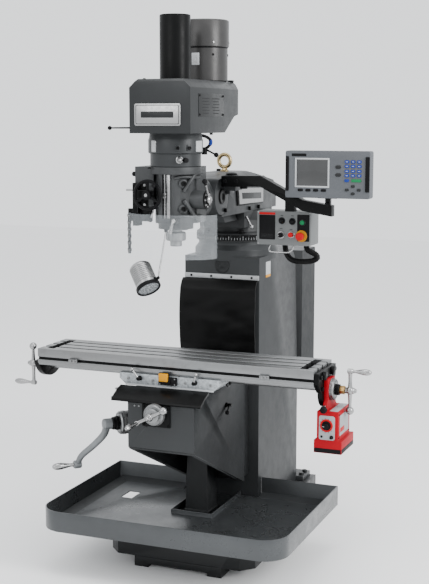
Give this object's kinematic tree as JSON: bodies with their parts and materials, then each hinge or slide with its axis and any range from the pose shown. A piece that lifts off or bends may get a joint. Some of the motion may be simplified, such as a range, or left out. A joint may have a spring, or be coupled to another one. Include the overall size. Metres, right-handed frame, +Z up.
{
  "type": "vertical milling machine",
  "caption": "Vertical turret milling machine: column on a foot with chip tray, rising knee, saddle and slotted table, swivelling turret, sliding ram, tilting head with quill and motor, pendant.",
  "frame": {"origin": "on the floor, under the middle foot, straight below the front face of the column", "axes": "+Z up; +Y from the operator towards the back of the machine; +X to the operator's right, along the table"},
  "size_m": [1.6738, 1.6704, 2.386],
  "materials": {
    "grey_paint": "satin",
    "dark_paint": "satin",
    "cast_grey": "satin",
    "machined_steel": "machined",
    "chrome_parts": "polished",
    "black_paint": "satin",
    "black_rubber": "matt",
    "black_plastic": "matt",
    "red_plastic": "gloss",
    "green_plastic": "gloss",
    "gilt_steel": "plated",
    "light_plastic": "satin",
    "clear_plastic": "clear",
    "silver_metal": "satin"
  },
  "bodies": {
    "stand": {"base": "dark_paint", "chip_tray": "grey_paint", "column": "grey_paint", "screw_housing": "dark_paint", "electrical_cabinet": "cast_grey", "rear_way_cover": "black_rubber"},
    "cabinet_door": {"cabinet_door": "cast_grey"},
    "knee": {"knee": "grey_paint", "cross_feed_plate": "black_paint"},
    "knee_lock": {"knee_lock_lever": "black_paint"},
    "elevating_screw": {"elevating_screw": "machined_steel"},
    "elevating_crank": {"elevating_crank": "cast_grey"},
    "elevating_grip": {"elevating_grip": "chrome_parts"},
    "saddle": {"saddle": "machined_steel", "front_way_cover": "black_rubber", "limit_switch": "black_plastic"},
    "cross_drive": {"cross_screw": "machined_steel", "cross_crank": "chrome_parts"},
    "cross_grip": {"cross_grip": "chrome_parts"},
    "table_lock_left": {"table_lock_left": "chrome_parts"},
    "table_lock_right": {"table_lock_right": "chrome_parts"},
    "table": {"table": "machined_steel", "end_bracket_left": "black_paint", "end_bracket_right": "black_paint", "power_feed": "red_plastic"},
    "feed_lever": {"feed_lever": "black_plastic"},
    "feed_knob": {"feed_knob": "black_plastic"},
    "table_drive": {"lead_screw": "machined_steel", "left_crank": "chrome_parts", "right_crank": "chrome_parts"},
    "left_grip": {"left_grip": "chrome_parts"},
    "right_grip": {"right_grip": "chrome_parts"},
    "turret": {"turret": "dark_paint"},
    "ram": {"ram": "grey_paint", "eye_bolt": "gilt_steel"},
    "pendant": {"arm": "black_paint", "display": "light_plastic", "control_box": "light_plastic", "conduit": "black_rubber"},
    "e_stop": {"e_stop": "red_plastic"},
    "start_button": {"start_button": "green_plastic"},
    "stop_button": {"stop_button": "red_plastic"},
    "selector_knob": {"selector_knob": "black_plastic"},
    "adapter": {"ram_adapter": "grey_paint"},
    "head": {"quill_housing": "dark_paint", "neck": "grey_paint", "head_cover": "grey_paint", "drawbar_cover": "black_paint", "motor": "grey_paint", "lamp_rod": "silver_metal", "drive_belt": "black_rubber"},
    "motor_pulley": {"motor_pulley": "machined_steel"},
    "spindle_pulley": {"spindle_pulley": "machined_steel"},
    "quill": {"quill": "machined_steel"},
    "spindle": {"spindle": "machined_steel"},
    "quill_lever": {"quill_lever": "chrome_parts"},
    "feed_handwheel": {"feed_handwheel": "black_plastic"},
    "guard": {"guard_shield": "clear_plastic"},
    "lamp": {"lamp": "silver_metal"}
  },
  "joints": [
    {"name": "knee_slide", "type": "slide", "parent": "stand", "child": "knee", "axis": [0, 0, 1], "range_m": [0, 0.4064], "deforming": ["rear_way_cover"]},
    {"name": "saddle_slide", "type": "slide", "parent": "knee", "child": "saddle", "axis": [0, 1, 0], "range_m": [-0.1016, 0.254], "deforming": ["front_way_cover"]},
    {"name": "table_slide", "type": "slide", "parent": "saddle", "child": "table", "axis": [1, 0, 0], "range_m": [-0.39116, 0.39116]},
    {"name": "elevating_screw_turn", "type": "hinge", "parent": "knee", "child": "elevating_screw", "pos_m": [0, -0.249, 0.5], "axis": [0, 0, 1], "range_deg": [0, 57601]},
    {"name": "elevating_crank_turn", "type": "hinge", "parent": "knee", "child": "elevating_crank", "pos_m": [-0.152, -0.487, 0.661], "axis": [-0.7071, -0.7071, 0], "range_deg": [0, 57601]},
    {"name": "elevating_grip_turn", "type": "hinge", "parent": "elevating_crank", "child": "elevating_grip", "pos_m": [-0.23756, -0.40144, 0.46], "axis": [-0.7071, -0.7071, 0], "continuous": true},
    {"name": "cross_screw_turn", "type": "hinge", "parent": "knee", "child": "cross_drive", "pos_m": [-0.018, -0.5, 0.747], "axis": [0, 1, 0], "range_deg": [-7201, 18001]},
    {"name": "cross_grip_turn", "type": "hinge", "parent": "cross_drive", "child": "cross_grip", "pos_m": [-0.07134, -0.76, 0.71952], "axis": [0, 1, 0], "continuous": true},
    {"name": "table_screw_turn", "type": "hinge", "parent": "table", "child": "table_drive", "pos_m": [0, -0.47, 0.866], "axis": [1, 0, 0], "range_deg": [-27721, 27721]},
    {"name": "left_grip_turn", "type": "hinge", "parent": "table_drive", "child": "left_grip", "pos_m": [-0.733, -0.47, 0.776], "axis": [1, 0, 0], "continuous": true},
    {"name": "right_grip_turn", "type": "hinge", "parent": "table_drive", "child": "right_grip", "pos_m": [0.752, -0.47, 0.947], "axis": [1, 0, 0], "continuous": true},
    {"name": "knee_lock_turn", "type": "hinge", "parent": "knee", "child": "knee_lock", "pos_m": [0.17, -0.33, 0.72], "axis": [1, 0, 0], "range_deg": [-30, 30]},
    {"name": "table_lock_left_turn", "type": "hinge", "parent": "saddle", "child": "table_lock_left", "pos_m": [-0.135, -0.61, 0.872], "axis": [0, 1, 0], "range_deg": [-30, 45]},
    {"name": "table_lock_right_turn", "type": "hinge", "parent": "saddle", "child": "table_lock_right", "pos_m": [0.12, -0.61, 0.872], "axis": [0, 1, 0], "range_deg": [-45, 30]},
    {"name": "feed_lever_turn", "type": "hinge", "parent": "table", "child": "feed_lever", "pos_m": [0.665, -0.556, 0.808], "axis": [0, 1, 0], "range_deg": [-25, 25]},
    {"name": "feed_knob_turn", "type": "hinge", "parent": "table", "child": "feed_knob", "pos_m": [0.682, -0.57, 0.735], "axis": [0, 1, 0], "range_deg": [-135, 135]},
    {"name": "cabinet_door_hinge", "type": "hinge", "parent": "stand", "child": "cabinet_door", "pos_m": [-0.2, 0.804, 1.07], "axis": [0, 0, 1], "range_deg": [0, 110]},
    {"name": "turret_turn", "type": "hinge", "parent": "stand", "child": "turret", "pos_m": [0, 0.19, 1.42], "axis": [0, 0, 1], "range_deg": [-90, 90]},
    {"name": "ram_slide", "type": "slide", "parent": "turret", "child": "ram", "axis": [0, 1, 0], "range_m": [-0.15, 0.32]},
    {"name": "pendant_swing", "type": "hinge", "parent": "ram", "child": "pendant", "pos_m": [0.15, -0.262, 1.7], "axis": [0, 0, 1], "range_deg": [-12, 30]},
    {"name": "e_stop_press", "type": "slide", "parent": "pendant", "child": "e_stop", "axis": [0, 1, 0], "range_m": [0, 0.008], "stiffness_N_per_m": 700, "springref_m": -0.004},
    {"name": "start_press", "type": "slide", "parent": "pendant", "child": "start_button", "axis": [0, 1, 0], "range_m": [0, 0.004], "stiffness_N_per_m": 500, "springref_m": -0.003},
    {"name": "stop_press", "type": "slide", "parent": "pendant", "child": "stop_button", "axis": [0, 1, 0], "range_m": [0, 0.004], "stiffness_N_per_m": 500, "springref_m": -0.003},
    {"name": "selector_turn", "type": "hinge", "parent": "pendant", "child": "selector_knob", "pos_m": [0.383, -0.28, 1.473], "axis": [0, 1, 0], "range_deg": [-45, 45]},
    {"name": "head_nod", "type": "hinge", "parent": "ram", "child": "adapter", "pos_m": [0, -0.277, 1.63], "axis": [-1, 0, 0], "range_deg": [-45, 20]},
    {"name": "head_tilt", "type": "hinge", "parent": "adapter", "child": "head", "pos_m": [0, -0.4, 1.63], "axis": [0, -1, 0], "range_deg": [-30, 90]},
    {"name": "quill_slide", "type": "slide", "parent": "head", "child": "quill", "axis": [0, 0, 1], "range_m": [-0.127, 0]},
    {"name": "quill_lever_turn", "type": "hinge", "parent": "head", "child": "quill_lever", "pos_m": [0.15, -0.519, 1.632], "axis": [1, 0, 0], "range_deg": [0, 301]},
    {"name": "feed_handwheel_turn", "type": "hinge", "parent": "head", "child": "feed_handwheel", "pos_m": [-0.074, -0.64, 1.653], "axis": [0, 1, 0], "continuous": true},
    {"name": "spindle_turn", "type": "hinge", "parent": "quill", "child": "spindle", "pos_m": [0, -0.519, 1.6], "axis": [0, 0, 1], "continuous": true},
    {"name": "spindle_pulley_turn", "type": "hinge", "parent": "head", "child": "spindle_pulley", "pos_m": [0, -0.519, 2.05], "axis": [0, 0, 1], "continuous": true},
    {"name": "motor_pulley_turn", "type": "hinge", "parent": "head", "child": "motor_pulley", "pos_m": [0, -0.205, 2.05], "axis": [0, 0, 1], "continuous": true},
    {"name": "guard_swing", "type": "hinge", "parent": "head", "child": "guard", "pos_m": [-0.184, -0.586, 1.49], "axis": [0, 0, 1], "range_deg": [-100, 0]},
    {"name": "lamp_tilt", "type": "hinge", "parent": "head", "child": "lamp", "pos_m": [-0.0021, -0.6946, 1.3207], "axis": [0, 1, 0], "range_deg": [-40, 0]}
  ],
  "couplings": [
    {"joint": "elevating_screw_turn", "follows": "knee_slide", "rad_per_m": 2473.7},
    {"joint": "elevating_crank_turn", "follows": "knee_slide", "rad_per_m": 2473.7},
    {"joint": "cross_screw_turn", "follows": "saddle_slide", "rad_per_m": 1236.8},
    {"joint": "table_screw_turn", "follows": "table_slide", "rad_per_m": 1236.8},
    {"joint": "quill_lever_turn", "follows": "quill_slide", "rad_per_m": -41.2},
    {"joint": "spindle_pulley_turn", "follows": "spindle_turn", "ratio": 1},
    {"joint": "motor_pulley_turn", "follows": "spindle_turn", "ratio": 1}
  ]
}
